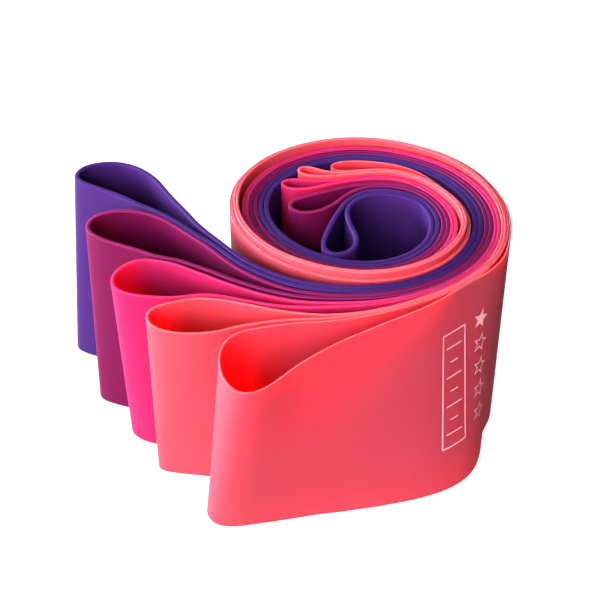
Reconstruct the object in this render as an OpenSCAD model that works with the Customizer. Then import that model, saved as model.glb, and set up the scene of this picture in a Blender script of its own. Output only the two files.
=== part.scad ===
// Set of five latex loop bands, stacked flat and rolled together, standing on their long edges.
//
// Each band is one endless strip. It runs along the roll as two layers that lie on each other,
// and at each end it turns back on itself in a teardrop loop: an open one outside the roll, where
// the five bands fan out, and a small one inside the roll.
//
// Everything is drawn in plan and raised by the width of the bands. The origin is the middle of
// the footprint, on the surface that the roll stands on, with +Z up.

/* [Bands] */
// Width of every band, which is the height of the standing roll
band_width = 50; // [30:1:75]
// Thickness of the coral band, the lightest, on the outside of the roll
coral_thickness = 0.35; // [0.25:0.05:0.35]
// Thickness of the salmon band
salmon_thickness = 0.5; // [0.3:0.05:0.5]
// Thickness of the pink band
pink_thickness = 0.7; // [0.5:0.05:0.7]
// Thickness of the plum band
plum_thickness = 0.9; // [0.7:0.05:0.9]
// Thickness of the indigo band, the heaviest, on the inside of the roll
indigo_thickness = 1.1; // [0.8:0.05:1.1]

/* [Roll] */
// Free space between two neighbouring bands in the roll
band_gap = 0.15; // [0.05:0.01:0.15]
// Free space between the two layers of one band in the roll
layer_gap = 0.08; // [0.03:0.01:0.08]
// Steps along a curve from one of its points to the next
curve_steps = 4; // [2:1:8]

/* [Hidden] */

// The stack is listed from the outside of the roll to its inside.
CORAL = 0;
SALMON = 1;
PINK = 2;
PLUM = 3;
INDIGO = 4;
thickness = [coral_thickness, salmon_thickness, pink_thickness, plum_thickness, indigo_thickness];

// ---- Path of the stack ----

// Middle of the roll in plan
roll_centre = [12.9, 33.8];

// Angle between two stations of the spiral
station_angle = 15;

// Angle of the first station: the stack enters the roll at the front and turns anticlockwise
entry_angle = -60;

// Distance of the middle of the stack from the middle of the roll, station by station. It shrinks
// along the first turn, grows a little where the second turn springs out against the first, and
// shrinks again towards the core.
spiral_radii = [
    31.7, 30.9, 30, 29, 28, 27.3, 26.9, 26.6, 26.3, 26.2, 26.1, 25.9, 25.7, 25.5, 25.1,
    24.7, 24.2, 23.7, 23.3, 23, 22.9, 23.1, 23.4, 23.5, 23.2, 22.6, 21.6, 20.3, 18.6, 16.9
];

spiral = [
    for (i = [0 : len(spiral_radii) - 1])
        let (a = entry_angle + i * station_angle)
            roll_centre + spiral_radii[i] * [cos(a), sin(a)]
];

// The coral band's outer layer lies loose and joins the roll five stations later.
first_station = [5, 0, 0, 0, 0];

// ---- Free ends, in plan ----

// Open loops outside the roll. Each list leaves the roll along the band's outer layer, goes round
// the loop and comes back along its inner layer.
open_loop = [
    [ // coral
        [45, 33.8], [44.8, 25.4], [43.3, 18.4], [41.2, 12.4], [38, 7.2], [34, 2.9], [29.5, -1],
        [24, -4.2], [17.5, -7], [11, -9.7], [5, -12.4], [-1, -15.4], [-6.5, -18.4],
        [-11, -20.4], [-14.7, -20.2], [-17, -17], [-17.5, -12.6], [-15.6, -8.9], [-11.5, -7.4],
        [-5, -6.6], [2, -6.4], [8, -5.9], [14, -4.7], [20, -2.5]
    ],
    [ // salmon
        [20, -1.8], [14, -4], [8, -5.1], [2, -5.5], [-5, -5.4], [-12, -5.8], [-19, -5.4],
        [-25.5, -4.1], [-29.6, -1.6], [-30.2, 1.6], [-27.5, 4.1], [-23, 4.8], [-17, 3.1],
        [-11, 0.4], [-5, -2.3], [2, -4.2], [8, -4.4], [14, -3.4], [20, -1.2]
    ],
    [ // pink
        [20, 0.3], [14, -1.2], [7, -2], [0, -1.9], [-6, -0.6], [-12, 1.9], [-19, 4.9],
        [-26, 6.2], [-33, 7.1], [-37.2, 9.6], [-38, 13.2], [-35.6, 16], [-30.7, 16.4],
        [-25, 13.7], [-19, 9.8], [-13, 5.9], [-7, 2.4], [0, -0.2], [7, -0.9], [14, -0.3],
        [20, 1.1]
    ],
    [ // plum
        [20, 2.3], [14, 1.1], [7, 0.7], [0, 1.5], [-6, 3.7], [-12, 7.1], [-19, 11.6],
        [-27, 16.3], [-35, 20.3], [-42, 24], [-45.6, 27.8], [-44.7, 31.6], [-39.5, 33.5],
        [-33, 31.6], [-26.9, 27], [-21.4, 21.3], [-16.4, 15.6], [-11.2, 10.3], [-5.6, 5.8],
        [0, 3], [7, 1.75], [14, 2.1], [20, 3.3]
    ],
    [ // indigo
        [20, 4.6], [14, 3.4], [7, 3.4], [0, 4.8], [-6, 8], [-12, 13], [-18.3, 19.7],
        [-25.4, 27.2], [-33.2, 33.8], [-41, 38.5], [-49, 42.6], [-52.6, 46], [-51.2, 50.6],
        [-46, 52.6], [-40.5, 51.3], [-35.3, 47.2], [-29.8, 39.6], [-24.3, 31.2], [-18.8, 23],
        [-12.6, 15.5], [-6.3, 9.9], [0, 6.3], [7, 4.7], [14, 4.7], [20, 5.8]
    ]
];

// Small loops inside the roll. Each list leaves the roll along the band's inner layer, goes round
// the loop and comes back along its outer layer.
inner_loop = [
    [ // coral
        [29.3, 44.2], [26, 47.3], [22.1, 49.1], [18.7, 49.5], [15.6, 49.5], [12.8, 49.1],
        [10.4, 48.8], [8.2, 49.1], [7, 50.3], [7.6, 51.8], [9.8, 52.8], [13, 53.1], [18, 52.5],
        [23, 50.8], [27, 47.9], [29.9, 44.3]
    ],
    [ // salmon
        [28.4, 43.2], [24.8, 46.3], [21, 47.8], [17, 48], [13.5, 47.5], [10, 46.9],
        [6.5, 46.4], [2.8, 46.5], [0.2, 47.6], [-0.4, 49.3], [1.2, 50.4], [3.4, 49.6],
        [6.2, 48.2], [9.5, 47.9], [13.2, 48.4], [17, 48.9], [21.3, 48.45], [25.1, 46.85],
        [28.9, 43.6]
    ],
    [ // pink
        [27, 42.2], [22.8, 45.3], [17.5, 46.3], [12, 45.6], [7, 44], [2.5, 42.2],
        [-1.5, 41.8], [-3.9, 43.4], [-3.4, 45.4], [0.5, 45.7], [6, 45.3], [11.5, 46.3],
        [17.4, 47.1], [23.2, 46], [27.6, 42.8]
    ],
    [ // plum
        [25.5, 40.6], [21.6, 42.6], [17.3, 43.1], [13.4, 42], [10.2, 39.3], [7.4, 35.6],
        [4, 32.9], [0.3, 32.3], [-2, 34], [-1.5, 36.7], [2, 38.9], [7, 41.4], [12, 43.4],
        [17.3, 44.2], [22, 43.5], [26.2, 41.3]
    ],
    [ // indigo
        [21.3, 39.4], [16.5, 39.8], [12.5, 37.5], [10.4, 33.4], [10.7, 28.2], [11.9, 23],
        [11.4, 19.2], [9.3, 17], [6.8, 16.7], [5.2, 18.2], [5.2, 21.8], [6.7, 27.6],
        [8.7, 33.2], [11.5, 38.4], [16, 41.1], [22, 40.5]
    ]
];

// ---- Curves ----

// Unit vector along v, and v turned a quarter clockwise
function unit(v) = v / norm(v);
function to_the_right(v) = [v[1], -v[0]];

// Element i of a closed list, for any i
function at(list, i) = list[(i + len(list)) % len(list)];

// Smooth closed curve through the points p: cubic pieces whose pace follows the square root of
// the distance between two points, so that uneven spacing makes no kink.
function pace(a, b) = sqrt(norm(b - a));

function slope(before, here, after) =
    let (d0 = pace(before, here), d1 = pace(here, after))
        (here - before) / d0 - (after - before) / (d0 + d1) + (after - here) / d1;

function blend(a, b, slope_a, slope_b, t) =
    (2 * pow(t, 3) - 3 * pow(t, 2) + 1) * a
    + (pow(t, 3) - 2 * pow(t, 2) + t) * slope_a
    + (3 * pow(t, 2) - 2 * pow(t, 3)) * b
    + (pow(t, 3) - pow(t, 2)) * slope_b;

function closed_curve(p) = [
    for (i = [0 : len(p) - 1])
        let (
            a = p[i],
            b = at(p, i + 1),
            d = pace(a, b),
            slope_a = d * slope(at(p, i - 1), a, b),
            slope_b = d * slope(a, b, at(p, i + 2))
        )
            for (step = [0 : curve_steps - 1])
                blend(a, b, slope_a, slope_b, step / curve_steps)
];

// Closed curve moved sideways, to the right of its direction of travel
function beside(curve, distance) = [
    for (i = [0 : len(curve) - 1])
        curve[i] + distance * to_the_right(unit(at(curve, i + 1) - at(curve, i - 1)))
];

// ---- Bands ----

// Room that the bands from the first to the one before number n take up in the stack
function stack_above(n) =
    n == 0 ? 0 : stack_above(n - 1) + 2 * thickness[n - 1] + layer_gap + band_gap;

stack_thickness = stack_above(INDIGO) + 2 * indigo_thickness + layer_gap;

// Distance of a band's outer and inner layer from the middle of the stack, outwards
function outer_layer(n) = stack_thickness / 2 - stack_above(n) - thickness[n] / 2;
function inner_layer(n) = outer_layer(n) - thickness[n] - layer_gap;

// Points along the spiral at a distance from its middle line, from station number first on
last_station = len(spiral) - 1;

function along_spiral(distance, first) = [
    for (i = [first : last_station])
        let (travel = spiral[min(i + 1, last_station)] - spiral[max(i - 1, 0)])
            spiral[i] + distance * to_the_right(unit(travel))
];

function reversed(list) = [for (i = [len(list) - 1 : -1 : 0]) list[i]];

// Middle line of a whole band: out round the open loop, inwards along the inner layer, round the
// inner loop and back along the outer layer
function middle_line(n) = closed_curve(concat(
    open_loop[n],
    along_spiral(inner_layer(n), 0),
    inner_loop[n],
    reversed(along_spiral(outer_layer(n), first_station[n]))
));

middle_lines = [for (n = [CORAL : INDIGO]) middle_line(n)];

// The footprint's box, which puts the origin in its middle
outlines = [for (n = [CORAL : INDIGO]) for (side = [-1, 1])
    beside(middle_lines[n], side * thickness[n] / 2)];
all_x = [for (outline = outlines) for (p = outline) p[0]];
all_y = [for (outline = outlines) for (p = outline) p[1]];
footprint_middle = [min(all_x) + max(all_x), min(all_y) + max(all_y)] / 2;

module band(n) {
    right_side = beside(middle_lines[n], thickness[n] / 2);
    left_side = beside(middle_lines[n], -thickness[n] / 2);
    count = len(middle_lines[n]);
    translate(-footprint_middle)
        linear_extrude(band_width)
            polygon(
                concat(right_side, left_side),
                [[for (i = [0 : count - 1]) i], [for (i = [0 : count - 1]) count + i]]
            );
}

module coral_band() {
    color("tomato") band(CORAL);
}

module salmon_band() {
    color("salmon") band(SALMON);
}

module pink_band() {
    color("deeppink") band(PINK);
}

module plum_band() {
    color("mediumvioletred") band(PLUM);
}

module indigo_band() {
    color("rebeccapurple") band(INDIGO);
}

coral_band();
salmon_band();
pink_band();
plum_band();
indigo_band();
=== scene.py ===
"""Looks of the rolled set of five latex loop bands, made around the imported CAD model.

Each CAD band is a plain upright strip. Here it is replaced by the same strip with a fine, smooth
middle line, rounded cut edges and a latex material. The free ends lean, and the feet of some stand
a little off that lean. In the roll the bands have some play, and their top edges are uneven.
Lengths are in metres and angles in degrees unless a name or a comment says otherwise.
"""

import math

import bmesh
import bpy
import numpy as np
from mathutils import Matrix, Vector


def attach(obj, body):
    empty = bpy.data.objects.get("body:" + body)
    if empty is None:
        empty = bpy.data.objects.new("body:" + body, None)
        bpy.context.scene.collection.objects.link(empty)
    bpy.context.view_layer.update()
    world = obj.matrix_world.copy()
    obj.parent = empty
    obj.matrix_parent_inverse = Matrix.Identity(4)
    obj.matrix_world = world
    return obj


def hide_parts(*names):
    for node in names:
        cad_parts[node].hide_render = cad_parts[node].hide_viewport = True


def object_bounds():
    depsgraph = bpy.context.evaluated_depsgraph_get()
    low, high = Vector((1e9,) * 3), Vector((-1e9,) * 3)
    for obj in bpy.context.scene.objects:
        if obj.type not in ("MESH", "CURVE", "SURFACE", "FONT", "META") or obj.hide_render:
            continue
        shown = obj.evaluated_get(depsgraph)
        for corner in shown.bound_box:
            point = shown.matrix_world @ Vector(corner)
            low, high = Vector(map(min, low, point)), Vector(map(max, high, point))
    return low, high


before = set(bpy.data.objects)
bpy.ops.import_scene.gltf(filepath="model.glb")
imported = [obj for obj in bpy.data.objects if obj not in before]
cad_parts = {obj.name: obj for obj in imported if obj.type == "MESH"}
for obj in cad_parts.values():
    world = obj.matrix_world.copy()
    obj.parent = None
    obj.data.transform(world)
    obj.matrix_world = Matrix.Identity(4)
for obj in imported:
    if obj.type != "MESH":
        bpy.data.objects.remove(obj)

cad_low, cad_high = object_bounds()
HEIGHT = cad_high.z - cad_low.z
MM = 0.001

# ---- Sizes of the fine mesh ----

STEP = 0.5 * MM  # along a band
SMOOTHING = 1.6 * MM  # width of the filter that evens out a middle line
WELD = 0.01 * MM  # points nearer than this are one
WALL_ROWS = 12  # rows of points up a wall
CORNER_STEPS = 3  # faces round a corner of the cut edge
CORNER_SHARE = 0.25  # radius of that corner, as a share of the thickness
SUPPORT_ROW = 0.35 * MM  # from the corner to the next row, so that the wall's shading stays flat
FLAT_HIGHLIGHT_SHARE = 0.1  # how much of the painted highlight, a paler colour, the flat of a cut edge takes next to its corners

# ---- Lean of the free ends ----

# How far the top edge stands from the middle of the wall, in plan, and the bottom edge the other
# way: (x, y, lean along x, lean along y), all in millimetres
LEAN_POINTS = [
    # round the indigo loop
    (-49.2, 24.4, 2.3, 0.0),
    (-44.0, 30.6, 2.0, -0.2),
    (-43.0, 19.8, 2.2, 0.1),
    (-36.2, 16.4, 1.5, -0.4),
    (-33.2, 28.4, 1.5, -0.1),
    (-24.2, 16.4, 0.4, -0.4),
    (-18.0, 7.0, 0.0, -0.5),
    (-29.6, 12.4, 0.6, -0.6),
    (-23.4, 7.4, 0.4, -0.5),
    # round the plum loop
    (-42.2, 6.4, 0.4, -2.0),
    (-34.2, 0.4, 0.3, -2.3),
    (-38.5, 11.6, 0.6, -1.4),
    (-34.2, 11.9, 0.3, -1.1),
    (-29.6, 10.0, 0.3, -0.6),
    (-24.2, 5.8, 0.3, -0.5),
    (-26.5, -3.4, 0.3, -2.6),
    (-16.2, -2.0, 0.2, -0.4),
    # round the pink loop
    (-34.7, -8.6, 0.3, -5.0),
    (-27.2, -15.6, 0.3, -5.4),
    (-22.0, -15.2, 0.4, -5.2),
    (-28.2, -4.6, 0.4, -2.6),
    (-22.0, -7.4, 0.4, -2.0),
    (-15.0, -12.0, 0.3, -1.6),
    (-10.2, -9.6, 0.2, -1.0),
    (-10.2, -4.6, 0.1, -0.4),
    (-4.2, -13.6, 0.05, -0.4),
    # round the salmon loop
    (-26.7, -20.6, 0.6, -5.7),
    (-18.2, -25.6, 0.8, -5.4),
    (-18.2, -16.6, 0.5, -4.2),
    (-11.2, -26.6, 0.6, -3.6),
    (-10.2, -18.6, 0.3, -1.9),
    (-4.2, -26.6, 0.2, -1.6),
    (-4.2, -20.6, 0.1, -0.9),
    (3.8, -27.6, 0.0, -0.6),
    (3.8, -23.6, 0.0, -0.2),
    # round the coral loop
    (-9.7, -42.6, 3.6, -7.4),
    (-13.7, -33.6, 2.4, -6.0),
    (-9.0, -29.4, 0.9, -2.8),
    (-2.2, -40.6, 2.3, -6.2),
    (7.8, -34.6, 0.0, -3.2),
    (15.3, -31.1, 0.0, -1.0),
]

# Places with no lean and no shift, as (x, y) in millimetres: the roll, the ground beside it and the
# stack in front of it
UPRIGHT_POINTS = [
    (3.8, -17.6), (11.8, -25.6), (11.8, -16.6), (20.8, -27.6), (18.8, -21.6), (28.8, -24.6),
    (23.8, -17.6), (34.8, -18.6), (42.8, -9.6), (-8.2, 0.4), (-11.2, 12.4), (3.8, -9.6),
    (23.8, -9.6), (39.8, 2.4), (-14.2, 22.4), (-8.2, 33.4), (33.8, 28.4), (3.8, 36.4),
    (48.8, 12.4), (16.7, 12.2),
]

# How far the bottom edge stands from where the lean puts it, for the bands that need it:
# (x, y, shift along x, shift along y), all in millimetres
FOOT_POINTS = {
    "coral": [
        (-13.7, -33.6, 0.6, 0.0),
        (-9.7, -42.6, 0.5, 0.3),
        (-2.2, -40.6, 0.0, 0.0),
        (7.8, -34.6, 0.0, 0.0),
        (-9.0, -29.4, 0.0, 0.0),
    ],
    "salmon": [
        (-26.7, -20.6, -0.4, -1.0),
        (-22.5, -24.0, 0.0, 0.3),
        (-18.2, -25.6, 0.0, 1.4),
        (-14.0, -26.3, 0.0, 2.2),
        (-11.2, -26.6, 0.0, 2.6),
        (-4.2, -26.6, 0.0, 1.2),
        (-23.5, -17.0, 0.0, -0.6),
        (-18.2, -16.6, 0.0, -0.6),
        (-10.2, -18.6, 0.0, -0.6),
        (-4.2, -20.6, 0.0, -0.3),
        (3.8, -23.6, 0.0, 0.0),
    ],
    "plum": [
        (-42.2, 6.4, -1.0, -1.6),
        (-39.0, 3.5, -0.7, -0.9),
        (-34.2, 0.4, 0.0, 0.0),
        (-38.5, 11.6, -1.0, 0.0),
        (-29.6, 10.0, 0.0, 0.0),
    ],
    "indigo": [
        (-49.2, 24.4, 0.0, 1.0),
        (-46.0, 21.5, 0.0, 1.6),
        (-43.0, 19.8, 0.0, 2.0),
        (-36.2, 16.4, 0.0, 1.6),
        (-44.0, 30.6, 0.0, 0.5),
        (-33.2, 28.4, 0.0, 0.5),
    ],
}

# The coral band's outer layer leans towards the roll where it joins it: (millimetres along the
# band from its front-most point, lean in millimetres)
CORAL_FLARE = [(26, 0.0), (33, 0.4), (41, 1.5), (50, 2.35), (57, 1.8), (62, 0.9), (69, 0.0)]
# Its bottom edge waves there: (the same place, millimetres outwards)
CORAL_WAVE = [(38, 0.0), (46, 0.3), (54, 0.8), (60, 0.0), (66, -0.8), (74, 0.0)]

# ---- Play between the bands in the roll ----

ROLL_CENTRE = np.array((16.85 * MM, 12.2 * MM))

# How far each band's top edge stands above the CAD's: (degrees round the roll, from its right-hand
# side and on towards the core, millimetres up)
LEVEL = [(0, 0.0), (360, 0.0)]
SUNK = [(-40, 0.0), (30, -0.4), (90, -0.6), (340, -0.5), (400, -0.3), (460, -0.4)]
TOP_EDGES = {
    "coral": LEVEL,
    "salmon": [(-40, 0.0), (30, 0.4), (90, 0.8), (180, 1.1), (340, 1.2), (400, 0.5), (460, 0.2)],
    "pink": SUNK,
    "plum": SUNK,
    "indigo": SUNK,
}

# How far each band lies nearer to the roll's middle than the CAD's: (the same degrees, millimetres)
TIGHT = [
    (0, 0.0), (25, 0.5), (45, 0.9), (130, 0.7), (180, 0.55), (215, 0.4), (250, 0.0), (290, 0.1),
    (330, 0.7), (385, 0.0),
]
LOOSE = [(20, 0.0), (60, 0.35), (120, 0.35), (165, 0.0)]
PLAY = {"coral": LOOSE, "salmon": LOOSE, "pink": TIGHT, "plum": TIGHT, "indigo": TIGHT}


def thin_plate(points, values, softness=1.0):
    """A smooth function of plan points through the values at the given points."""
    points = np.array(points, float)
    values = np.array(values, float)

    def kernel(places):
        square = ((places[:, None] - points[None]) ** 2).sum(axis=2)
        # The tiny number keeps the logarithm finite at the points themselves.
        return 0.5 * square * np.log(square + 1e-9)

    plane = np.column_stack([np.ones(len(points)), points])
    stiffness = kernel(points) + softness * np.eye(len(points))
    system = np.block([[stiffness, plane], [plane.T, np.zeros((3, 3))]])
    weights = np.linalg.solve(system, np.vstack([values, np.zeros((3, values.shape[1]))]))

    def field(places):
        flat = np.column_stack([np.ones(len(places)), places])
        return kernel(places) @ weights[:-3] + flat @ weights[-3:]

    return field


def shift_field(points):
    """The field through (x, y, shift x, shift y) points that is nothing at the upright points."""
    places = [p[:2] for p in points] + UPRIGHT_POINTS
    return thin_plate(places, [p[2:] for p in points] + [(0.0, 0.0)] * len(UPRIGHT_POINTS))


lean_field = shift_field(LEAN_POINTS)

# ---- Curves ----


def closed_steps(curve):
    """Vectors from each point of a closed curve to the next."""
    return np.roll(curve, -1, axis=0) - curve


def lengths(vectors):
    """The length of each vector."""
    return np.linalg.norm(vectors, axis=-1)


def roll_angle(curve):
    """Degrees round the roll's middle along a curve that starts in front of it."""
    arm = curve - ROLL_CENTRE
    return np.degrees(np.unwrap(np.arctan2(arm[:, 1], arm[:, 0])))


def right_hand(curve):
    """Unit vectors to the right of travel along a closed curve."""
    travel = np.roll(curve, -1, axis=0) - np.roll(curve, 1, axis=0)
    travel /= lengths(travel)[:, None]
    return np.column_stack([travel[:, 1], -travel[:, 0]])


def cubic(t, size, start, slope, end, slope_end):
    """Values at a share t of the way between two ends that are a size apart and have slopes."""
    return (
        (2 * t**3 - 3 * t**2 + 1) * start
        + (t**3 - 2 * t**2 + t) * size * slope
        + (3 * t**2 - 2 * t**3) * end
        + (t**3 - t**2) * size * slope_end
    )


def rounded_curve(curve, parts=8):
    """A closed curve with each of its edges cut in parts along a cubic."""
    step = closed_steps(curve)
    size = lengths(step)[:, None]
    before, size_before = np.roll(step, 1, axis=0), np.roll(size, 1, axis=0)
    slope = (before / size_before * size + step / size * size_before) / (size + size_before)
    end, slope_end = np.roll(curve, -1, axis=0), np.roll(slope, -1, axis=0)
    made = [cubic(t, size, curve, slope, end, slope_end) for t in np.arange(parts) / parts]
    return np.stack(made, axis=1).reshape(-1, 2)


def evenly_spaced(curve, step):
    """A closed curve's points again, at equal distances of about a step."""
    distance = np.concatenate([[0], np.cumsum(lengths(closed_steps(curve)))])
    closed = np.vstack([curve, curve[:1]])
    count = round(distance[-1] / step)
    wanted = np.arange(count) * distance[-1] / count
    return np.column_stack([np.interp(wanted, distance, closed[:, k]) for k in range(2)])


def evened_out(curve, width, step):
    """A closed, evenly spaced curve without its finest ripples. Its loops keep their size."""
    plane = curve[:, 0] + 1j * curve[:, 1]
    low = np.exp(-2 * (math.pi * width * np.fft.fftfreq(len(plane), step)) ** 2)
    plane = np.fft.ifft(np.fft.fft(plane) * (2 * low - low**2))
    return np.column_stack([plane.real, plane.imag])


def along_profile(points, places):
    """Values between (place, value) pairs, with a smooth course, and the end values beyond them."""
    x, y = np.array(points, float).T
    slope = np.gradient(y, x)
    slope[[0, -1]] = 0
    i = np.clip(np.searchsorted(x, places) - 1, 0, len(x) - 2)
    size = x[i + 1] - x[i]
    t = np.clip((places - x[i]) / size, 0, 1)
    return cubic(t, size, y[i], slope[i], y[i + 1], slope[i + 1])


# ---- Bands ----


def is_clockwise(outline):
    ahead = np.roll(outline, -1, axis=0)
    return (outline[:, 0] * ahead[:, 1] - ahead[:, 0] * outline[:, 1]).sum() < 0


def top_outlines(node):
    """The two closed outlines of a CAD band's top face in plan, anticlockwise, the outer one first."""
    mesh = bmesh.new()
    mesh.from_mesh(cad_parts[node].data)
    bmesh.ops.remove_doubles(mesh, verts=mesh.verts, dist=WELD)
    neighbours = {}
    for face in mesh.faces:
        is_level = abs(face.normal.z) > 0.5
        if is_level:
            continue
        rim = [v for v in face.verts if v.co.z > cad_high.z - WELD]
        if len(rim) == 2:
            neighbours.setdefault(rim[0], set()).add(rim[1])
            neighbours.setdefault(rim[1], set()).add(rim[0])
    outlines = []
    while neighbours:
        loop = [next(iter(neighbours))]
        while loop[-1] in neighbours:
            ahead = neighbours.pop(loop[-1]) & neighbours.keys()
            if not ahead:
                break
            loop.append(ahead.pop())
        outline = np.array([v.co.xy for v in loop])
        # The walk may go either way round. Both ways, its first point becomes the outline's last.
        outlines.append(outline[::-1] if is_clockwise(outline) else np.roll(outline, -1, axis=0))
    mesh.free()
    outlines.sort(key=lambda curve: lengths(closed_steps(curve)).sum())
    return outlines[::-1]


def fine_line(rough):
    """A rough closed line made fine and smooth, from its front-most point."""
    fine = evenly_spaced(rounded_curve(rough), STEP)
    fine = evened_out(fine, SMOOTHING, STEP)
    return np.roll(fine, -int(fine[:, 1].argmin()), axis=0)


class Band:
    """A latex loop: its thickness, its middle line in plan, and how its edges stand off that.

    The middle line runs anticlockwise from the band's front-most point.
    """

    def __init__(self, colour):
        outer, inner = top_outlines(colour + "_band")
        apart = lengths(outer[:, None] - inner[None])
        self.thickness = float(np.median(apart.min(axis=1)))
        middle = fine_line((outer + inner[apart.argmin(axis=1)]) / 2)
        turn = roll_angle(middle)
        arm = middle - ROLL_CENTRE
        play = along_profile(PLAY[colour], turn) * MM
        self.middle = middle - arm * (play / lengths(arm))[:, None]
        self.rise = along_profile(TOP_EDGES[colour], turn) * MM
        self.step = float(lengths(closed_steps(self.middle)).mean())
        self.along = np.arange(len(self.middle)) * self.step
        self.length = len(self.middle) * self.step
        self.lean = lean_field(self.middle / MM) * MM
        self.foot = shift_field(FOOT_POINTS.get(colour, []))(self.middle / MM) * MM
        self.wave = np.zeros((len(self.middle), 2))

    def at_height(self, z):
        """The middle line in plan at a height."""
        down = 1 - z / HEIGHT
        return self.middle + self.lean * (1 - 2 * down) + self.foot * down + self.wave * down**3

    def wall(self, z, across):
        """Points at a height, at a distance outwards from the middle line."""
        curve = self.at_height(z)
        plan = curve + across * right_hand(curve)
        return np.column_stack([plan, z * (1 + self.rise / HEIGHT)])

    def on_surface(self, place, z, lift):
        """The point lifted off the band's outer face, at a place along it and at a height."""
        surface = self.wall(z, self.thickness / 2 + lift)
        return [np.interp(place, self.along, surface[:, k]) for k in range(3)]


def cross_section(thickness):
    """(height, distance outwards, cut edge, share of the painted highlight) round a section, up the
    outer face first.
    """
    radius = CORNER_SHARE * thickness
    flat = thickness / 2 - radius
    walls = np.linspace(radius + SUPPORT_ROW, HEIGHT - radius - SUPPORT_ROW, WALL_ROWS)
    up = [(z, thickness / 2, 0.0, 0.0) for z in (radius, *walls, HEIGHT - radius)]
    corner = []
    for k in range(1, CORNER_STEPS + 1):
        angle = math.pi / 2 * k / CORNER_STEPS
        height = HEIGHT - radius + radius * math.sin(angle)
        # The corners of a cut edge take the painted highlight fully, its flat only a little.
        highlight_share = FLAT_HIGHLIGHT_SHARE if k == CORNER_STEPS else 1.0
        corner.append((height, flat + radius * math.cos(angle), 1.0, highlight_share))
    outer_half = [(HEIGHT - z, *rest) for z, *rest in reversed(corner)] + up + corner
    inner_half = [(z, -across, *rest) for z, across, *rest in reversed(outer_half)]
    return outer_half + inner_half


def band_object(name, band):
    """The band as a closed mesh, with its length and height as UVs, and its cut edges and the painted
    highlight on their corners marked.
    """
    heights, across, cut, highlight_share = np.array(cross_section(band.thickness)).T
    rows = np.stack([band.wall(*point) for point in zip(heights, across)], axis=1)
    count, ring = rows.shape[:2]
    i, j = np.meshgrid(np.arange(count), np.arange(ring), indexing="ij")
    i, j = i.ravel(), j.ravel()
    i2, j2 = (i + 1) % count, (j + 1) % ring
    faces = np.column_stack([i * ring + j, i2 * ring + j, i2 * ring + j2, i * ring + j2])
    mesh = bpy.data.meshes.new(name)
    mesh.from_pydata(rows.reshape(-1, 3).tolist(), [], faces.tolist())
    mesh.shade_smooth()

    # The second attribute is the share of the painted highlight on the corners of the cut edges.
    for attribute, values in (("cut_edge", cut), ("painted_highlight", highlight_share)):
        data = mesh.attributes.new(attribute, "FLOAT", "POINT").data
        data.foreach_set("value", np.tile(values, count))

    # v runs up the walls and across the cut edges.
    path = heights + across
    u = np.column_stack([i, i + 1, i + 1, i]) * band.step
    v = path[np.column_stack([j, j, j2, j2])]
    uv = np.stack([u, v], axis=2).ravel()
    mesh.uv_layers.new(name="strip").data.foreach_set("uv", uv)

    made = bpy.data.objects.new(name, mesh)
    bpy.context.scene.collection.objects.link(made)
    return made


# ---- Materials ----

NOISE_LOW, NOISE_HIGH = 0.3, 0.7  # most values of a noise texture lie between these
NOISE_ROUGHNESS = 0.5

# Scales are per metre, or per metre along the strip and up it, with a third number that is unused.
MOTTLE_SCALE = 45
MOTTLE_SHARE = 0.4  # the most of the deeper shade that the mottle brings in
STREAK_SCALE = (25, 700, 1)
STREAK_SHARE = 0.3
GRAIN_SCALE = 3500
GRAIN_ROUGHNESS = 0.65
GRAIN_BUMP = {"Strength": 0.12, "Distance": 0.05 * MM}
DRAW_SCALE = (120, 2200, 1)  # marks of drawing out the strip
DRAW_BUMP = {"Strength": 0.1, "Distance": 0.06 * MM}
SATIN = (0.5, 0.6)  # roughness of the walls
MATT = (0.85, 0.95)  # and of the cut edges
LATEX_IOR = 1.52

INK_WEAR_SCALE = 2600
INK_WEAR_SHARE = 0.35
INK_WORN = 0.82  # brightness of worn ink, as a share of fresh ink's
INK_GRAIN_SCALE = 4000
INK_ROUGHNESS = (0.5, 0.65)


class Nodes:
    """Short ways to add and link shader nodes."""

    def __init__(self, owner):
        owner.use_nodes = True
        self.tree = owner.node_tree
        self.tree.nodes.clear()

    def add(self, kind, inputs=None, **settings):
        node = self.tree.nodes.new(kind)
        for key, value in settings.items():
            setattr(node, key, value)
        for key, value in (inputs or {}).items():
            if isinstance(value, bpy.types.NodeSocket):
                self.tree.links.new(value, node.inputs[key])
            else:
                node.inputs[key].default_value = value
        return node

    def noise(self, vector, scale, detail=3.0, roughness=NOISE_ROUGHNESS):
        inputs = {"Vector": vector, "Scale": scale, "Detail": detail, "Roughness": roughness}
        return self.add("ShaderNodeTexNoise", inputs).outputs["Fac"]

    def scaled(self, vector, scale):
        inputs = {"Vector": vector, "Scale": scale}
        return self.add("ShaderNodeMapping", inputs).outputs["Vector"]

    def remapped(self, noise, low, high):
        """A noise whose values are spread over low to high."""
        spread = {"From Min": NOISE_LOW, "From Max": NOISE_HIGH, "To Min": low, "To Max": high}
        return self.add("ShaderNodeMapRange", {"Value": noise, **spread}).outputs["Result"]

    # A Mix node has sockets 2 and 3 for numbers and 6 and 7 for colours.

    def mixed_numbers(self, factor, a, b):
        return self.add("ShaderNodeMix", {0: factor, 2: a, 3: b}).outputs[0]

    def mixed_colours(self, factor, a, b):
        inputs = {0: factor, 6: a, 7: b}
        return self.add("ShaderNodeMix", inputs, data_type="RGBA").outputs[2]


def linear(red, green, blue):
    """An sRGB colour given from 0 to 255, as a linear colour."""

    def channel(value):
        value /= 255
        return value / 12.92 if value <= 0.04045 else ((value + 0.055) / 1.055) ** 2.4

    return (channel(red), channel(green), channel(blue), 1.0)


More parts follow.
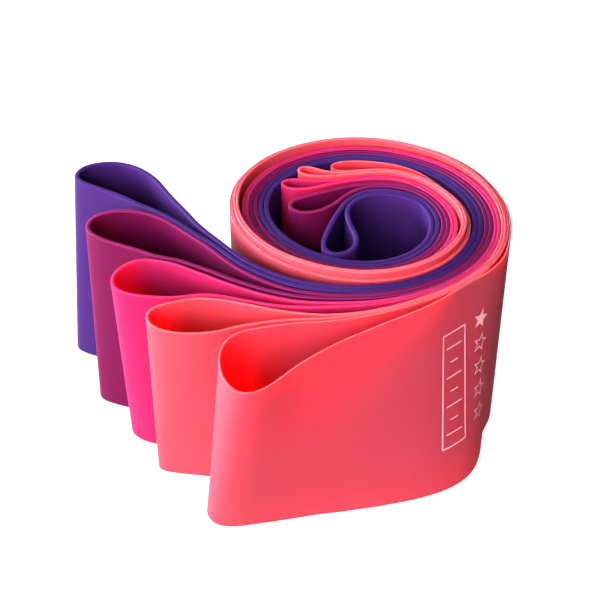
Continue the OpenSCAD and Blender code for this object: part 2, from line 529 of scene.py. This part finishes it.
def latex(name, colour, deep, edge_highlight, glow, depth_mm, gloss, tint):
    """Satin latex, faintly mottled, streaked along the band, and matt at its cut edges, whose corners
    carry a painted highlight in a paler colour.
    """
    material = bpy.data.materials.new(name)
    n = Nodes(material)
    strip = n.add("ShaderNodeUVMap", uv_map="strip").outputs["UV"]
    place = n.add("ShaderNodeTexCoord").outputs["Object"]

    mottle = n.remapped(n.noise(place, MOTTLE_SCALE, detail=2), 0.0, MOTTLE_SHARE)
    streaks = n.noise(n.scaled(strip, STREAK_SCALE), 1, detail=3)
    body = n.mixed_colours(mottle, colour, deep)
    body = n.mixed_colours(n.remapped(streaks, 0.0, STREAK_SHARE), body, deep)
    cut = n.add("ShaderNodeAttribute", attribute_name="cut_edge").outputs["Fac"]
    # Painted highlight: the corners of the cut edges take a paler colour, standing in for the sheen of
    # light along them.
    highlight_share = n.add("ShaderNodeAttribute", attribute_name="painted_highlight").outputs["Fac"]
    body = n.mixed_colours(highlight_share, body, edge_highlight)

    grain = n.noise(place, GRAIN_SCALE, detail=4, roughness=GRAIN_ROUGHNESS)
    rough = n.mixed_numbers(cut, n.remapped(grain, *SATIN), n.remapped(grain, *MATT))
    fine = n.add("ShaderNodeBump", {"Height": grain, **GRAIN_BUMP})
    draw = n.noise(n.scaled(strip, DRAW_SCALE), 1, detail=2)
    bump_inputs = {"Height": draw, **DRAW_BUMP, "Normal": fine.outputs["Normal"]}
    bump = n.add("ShaderNodeBump", bump_inputs)

    shader = n.add(
        "ShaderNodeBsdfPrincipled",
        {
            "Base Color": body,
            "Roughness": rough,
            "Normal": bump.outputs["Normal"],
            "IOR": LATEX_IOR,
            "Specular IOR Level": gloss,
            "Specular Tint": tint,
            "Subsurface Weight": glow,
            "Subsurface Radius": [d * MM for d in depth_mm],
            "Subsurface Scale": 1.0,
        },
    )
    n.add("ShaderNodeOutputMaterial", {"Surface": shader.outputs["BSDF"]})
    return material


def ink(name, colour):
    """Screen-printing ink, slightly worn."""
    material = bpy.data.materials.new(name)
    n = Nodes(material)
    place = n.add("ShaderNodeTexCoord").outputs["Object"]
    wear = n.remapped(n.noise(place, INK_WEAR_SCALE, detail=3), 0.0, INK_WEAR_SHARE)
    worn = tuple(INK_WORN * c for c in colour[:3]) + (1.0,)
    shader = n.add(
        "ShaderNodeBsdfPrincipled",
        {
            "Base Color": n.mixed_colours(wear, colour, worn),
            "Roughness": n.remapped(n.noise(place, INK_GRAIN_SCALE), *INK_ROUGHNESS),
        },
    )
    n.add("ShaderNodeOutputMaterial", {"Surface": shader.outputs["BSDF"]})
    return material


WHITE = (1.0, 1.0, 1.0, 1.0)

# deep is the shade that the mottle and the streaks bring in. The edge colour is a painted
# highlight, paler than the band, on the corners of its cut edges. glow is how much light spreads
# inside the latex, and depth_mm how far, for red, green and blue. tint is the colour of the gloss.
LATEX = {
    "coral": {
        "colour": linear(254, 52, 72),
        "deep": linear(252, 44, 62),
        "edge_highlight": linear(255, 92, 112),
        "glow": 1.0,
        "depth_mm": (4.5, 0.6, 0.4),
        "gloss": 0.45,
        "tint": WHITE,
    },
    "salmon": {
        "colour": linear(255, 58, 76),
        "deep": linear(254, 50, 66),
        "edge_highlight": linear(255, 94, 112),
        "glow": 1.0,
        "depth_mm": (4.5, 0.6, 0.4),
        "gloss": 0.45,
        "tint": WHITE,
    },
    "pink": {
        "colour": linear(168, 23, 82),
        "deep": linear(162, 16, 68),
        "edge_highlight": linear(212, 46, 112),
        "glow": 0.9,
        "depth_mm": (3.4, 0.2, 0.1),
        "gloss": 0.25,
        "tint": (1.0, 0.5, 0.7, 1.0),
    },
    "plum": {
        "colour": linear(92, 9, 56),
        "deep": linear(84, 7, 46),
        "edge_highlight": linear(116, 30, 92),
        "glow": 0.6,
        "depth_mm": (3.0, 0.2, 0.3),
        "gloss": 0.2,
        "tint": (1.0, 0.2, 0.7, 1.0),
    },
    "indigo": {
        "colour": linear(54, 27, 88),
        "deep": linear(48, 23, 79),
        "edge_highlight": linear(54, 31, 102),
        "glow": 0.5,
        "depth_mm": (1.2, 0.5, 1.5),
        "gloss": 0.15,
        "tint": (0.6, 0.2, 1.0, 1.0),
    },
}

bands = {colour: Band(colour) for colour in LATEX}

coral = bands["coral"]
inwards = -right_hand(coral.middle)
coral.lean += along_profile(CORAL_FLARE, coral.along / MM)[:, None] * MM * inwards
coral.wave -= along_profile(CORAL_WAVE, coral.along / MM)[:, None] * MM * inwards

for colour, look in LATEX.items():
    made = band_object(colour + "_latex_loop", bands[colour])
    made.data.materials.append(latex(colour + "_latex", **look))
    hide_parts(colour + "_band")
    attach(made, colour)

# ---- Printed level mark on the coral band ----

INK_COLOUR = linear(250, 160, 172)
INK_LIFT = 0.03 * MM  # how far the ink stands off the latex
INK_ROOT = 0.02 * MM  # and how far it reaches in
INK_STEP = 0.4 * MM  # length of its faces along the band
LINE = 0.32 * MM  # width of a line

# From and to along the band from its front-most point, and from and to up from the floor
FRAME_BOX = (46.2 * MM, 53.0 * MM, 11.2 * MM, 40.8 * MM)
TICKS = 7
TICK_LONG = 4.4 * MM
TICK_SHORT = 2.2 * MM
STAR_PLACE = 58.0 * MM
STAR_TOP = 39.5 * MM
STAR_PITCH = 6.1 * MM
STAR_RADIUS = 2.5 * MM
STAR_LINE = 2.4 * LINE  # how much further the points of an outline reach than those of its hole
STAR_CORNERS = 10
STAR_NOTCH = 0.42  # reach of the inner corners, as a share of the points'
STARS = 5


def star(centre, radius):
    """Corners of a five-pointed star that points along the band."""
    corners = []
    for k in range(STAR_CORNERS):
        reach = radius if k % 2 == 0 else STAR_NOTCH * radius
        angle = math.radians(360 / STAR_CORNERS * k)
        corners.append((centre[0] + reach * math.cos(angle), centre[1] + reach * math.sin(angle)))
    return corners


def ring_faces(outer, inner):
    """Four-sided faces between two outlines with as many corners."""
    count = len(outer)
    return [
        (outer[k], outer[(k + 1) % count], inner[(k + 1) % count], inner[k]) for k in range(count)
    ]


def rectangle(left, right, bottom, top):
    return [(left, bottom), (right, bottom), (right, top), (left, top)]


def mark_faces():
    """The mark's flat faces: a frame with scale ticks in it, and one star filled out of five."""
    left, right, bottom, top = FRAME_BOX
    inside = rectangle(left + LINE, right - LINE, bottom + LINE, top - LINE)
    faces = ring_faces(rectangle(*FRAME_BOX), inside)
    middle = (left + right) / 2
    for k in range(TICKS):
        z = bottom + (top - bottom) * (k + 1) / (TICKS + 1)
        half = (TICK_LONG if k % 2 == 0 else TICK_SHORT) / 2
        faces.append(rectangle(middle - half, middle + half, z - LINE / 2, z + LINE / 2))
    for k in range(STARS):
        centre = (STAR_PLACE, STAR_TOP - k * STAR_PITCH)
        outline = star(centre, STAR_RADIUS)
        if k == 0:
            faces += [(outline[i - 1], outline[i], centre) for i in range(STAR_CORNERS)]
        else:
            faces += ring_faces(outline, star(centre, STAR_RADIUS - STAR_LINE))
    return faces


def flat_mark():
    """The mark's faces in one mesh, cut into short steps along the band and facing up."""
    mesh = bmesh.new()
    for corners in mark_faces():
        mesh.faces.new([mesh.verts.new((*corner, 0)) for corner in corners])
    bmesh.ops.remove_doubles(mesh, verts=mesh.verts, dist=WELD)
    first, last = FRAME_BOX[0], STAR_PLACE + STAR_RADIUS
    for place in np.arange(first + INK_STEP, last, INK_STEP):
        everything = mesh.verts[:] + mesh.edges[:] + mesh.faces[:]
        bmesh.ops.bisect_plane(mesh, geom=everything, plane_co=(place, 0, 0), plane_no=(1, 0, 0))
    bmesh.ops.recalc_face_normals(mesh, faces=mesh.faces)
    for face in mesh.faces:
        if face.normal.z < 0:
            face.normal_flip()
    return mesh


def mark_object(name, band):
    """The mark as a thin layer that follows the band's outer face."""
    mesh = flat_mark()
    copied = bmesh.ops.duplicate(mesh, geom=mesh.faces[:])["geom"]
    bmesh.ops.reverse_faces(mesh, faces=[g for g in copied if isinstance(g, bmesh.types.BMFace)])
    lower = {g for g in copied if isinstance(g, bmesh.types.BMVert)}
    for v in mesh.verts:
        v.co = band.on_surface(v.co.x, v.co.y, -INK_ROOT if v in lower else INK_LIFT)
    made_mesh = bpy.data.meshes.new(name)
    mesh.to_mesh(made_mesh)
    mesh.free()
    made = bpy.data.objects.new(name, made_mesh)
    bpy.context.scene.collection.objects.link(made)
    return made


mark = mark_object("coral_level_mark", coral)
mark.data.materials.append(ink("level_mark_ink", INK_COLOUR))
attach(mark, "coral")

# ---- Floor, light and camera ----

CAMERA_PITCH = 37
CAMERA_DISTANCE = 0.256
CAMERA_LENS = 78
SENSOR_WIDTH = 36
CAMERA_CLIP = (0.01, 20)
AIM = Vector((3.95 * MM, -21.6 * MM, cad_high.z))

FLOOR_COLOUR = (0.35, 0.35, 0.35, 1)
FLOOR_ROUGHNESS = 0.8
FLOOR_GLOW = 0.85
FLOOR_SIZE = 8.0
BACKDROP_RADIUS = 3.9
BACKDROP_HEIGHT = 3.0
BACKDROP_SIDES = 64

SKY_BRIGHT = (-0.5, -0.7, -0.45)  # the direction in which the surroundings are brightest
SKY_DARK_TO = -0.6  # cosine of the angle from there at which they are darkest
SKY_LOW = 0.06
SKY_HIGH = 1.25

# Place, width and height, and watts of each soft box. They all face the middle of the object.
SOFT_BOXES = {
    "overhead": ((-0.15, -0.1, 0.9), (0.7, 0.7), 3.2),
    "left_box": ((-0.87, -0.15, 0.17), (0.9, 0.32), 15.5),
    "front_box": ((-0.35, -0.88, 0.42), (0.7, 0.6), 22.0),
    "back_box": ((-0.75, 0.65, 0.22), (0.9, 0.42), 33.0),
}


def pale_surface(name, corners, faces):
    """A softly glowing part of the stage. It is seen, and takes shadows, but it lights nothing."""
    mesh = bpy.data.meshes.new(name)
    mesh.from_pydata(corners, [], faces)
    made = bpy.data.objects.new(name, mesh)
    bpy.context.scene.collection.objects.link(made)
    material = bpy.data.materials.new(name)
    n = Nodes(material)
    shader = n.add(
        "ShaderNodeBsdfPrincipled",
        {
            "Base Color": FLOOR_COLOUR,
            "Roughness": FLOOR_ROUGHNESS,
            "Emission Color": WHITE,
            "Emission Strength": FLOOR_GLOW,
        },
    )
    n.add("ShaderNodeOutputMaterial", {"Surface": shader.outputs["BSDF"]})
    mesh.materials.append(material)
    made.visible_diffuse = False
    made.visible_glossy = False
    return made


def floor():
    half = FLOOR_SIZE / 2
    corners = [(-half, -half, 0), (half, -half, 0), (half, half, 0), (-half, half, 0)]
    pale_surface("floor", corners, [(0, 1, 2, 3)])


def backdrop():
    """A round wall far away, which closes the view above the floor and lets all light through."""
    corners = []
    for k in range(BACKDROP_SIDES):
        angle = 2 * math.pi * k / BACKDROP_SIDES
        x, y = BACKDROP_RADIUS * math.cos(angle), BACKDROP_RADIUS * math.sin(angle)
        corners += [(x, y, 0), (x, y, BACKDROP_HEIGHT)]
    count = len(corners)
    faces = [(k, (k + 2) % count, (k + 3) % count, k + 1) for k in range(0, count, 2)]
    made = pale_surface("backdrop", corners, faces)
    made.visible_shadow = False
    made.visible_transmission = False


def soft_box(name, place, size, power):
    light = bpy.data.lights.new(name, "AREA")
    light.shape = "RECTANGLE"
    light.size, light.size_y = size
    light.energy = power
    made = bpy.data.objects.new(name, light)
    made.location = place
    towards = Vector((0, 0, HEIGHT / 2)) - Vector(place)
    made.rotation_euler = towards.to_track_quat("-Z", "Y").to_euler()
    bpy.context.scene.collection.objects.link(made)


def surroundings():
    """White surroundings that are brightest towards SKY_BRIGHT."""
    world = bpy.data.worlds.new("studio")
    bpy.context.scene.world = world
    n = Nodes(world)
    ray = n.add("ShaderNodeTexCoord").outputs["Generated"]
    towards = Vector(SKY_BRIGHT).normalized()
    dot = n.add("ShaderNodeVectorMath", {0: ray, 1: towards}, operation="DOT_PRODUCT")
    spread = {"From Min": SKY_DARK_TO, "From Max": 1.0, "To Min": SKY_LOW, "To Max": SKY_HIGH}
    strength = n.add("ShaderNodeMapRange", {"Value": dot.outputs["Value"], **spread})
    sky = n.add("ShaderNodeBackground", {"Strength": strength.outputs["Result"]})
    n.add("ShaderNodeOutputWorld", {"Surface": sky.outputs["Background"]})


def camera():
    """The camera at the photo's angle, and a plain view of its colours."""
    bpy.context.scene.view_settings.view_transform = "Standard"
    data = bpy.data.cameras.new("camera")
    data.lens = CAMERA_LENS
    data.sensor_width = SENSOR_WIDTH
    data.clip_start, data.clip_end = CAMERA_CLIP
    made = bpy.data.objects.new("camera", data)
    pitch = math.radians(CAMERA_PITCH)
    back = Vector((0, -math.cos(pitch), math.sin(pitch)))
    made.location = AIM + back * CAMERA_DISTANCE
    made.rotation_euler = (math.pi / 2 - pitch, 0, 0)
    bpy.context.scene.collection.objects.link(made)
    bpy.context.scene.camera = made


floor()
backdrop()
surroundings()
for name, box in SOFT_BOXES.items():
    soft_box(name, *box)
camera()
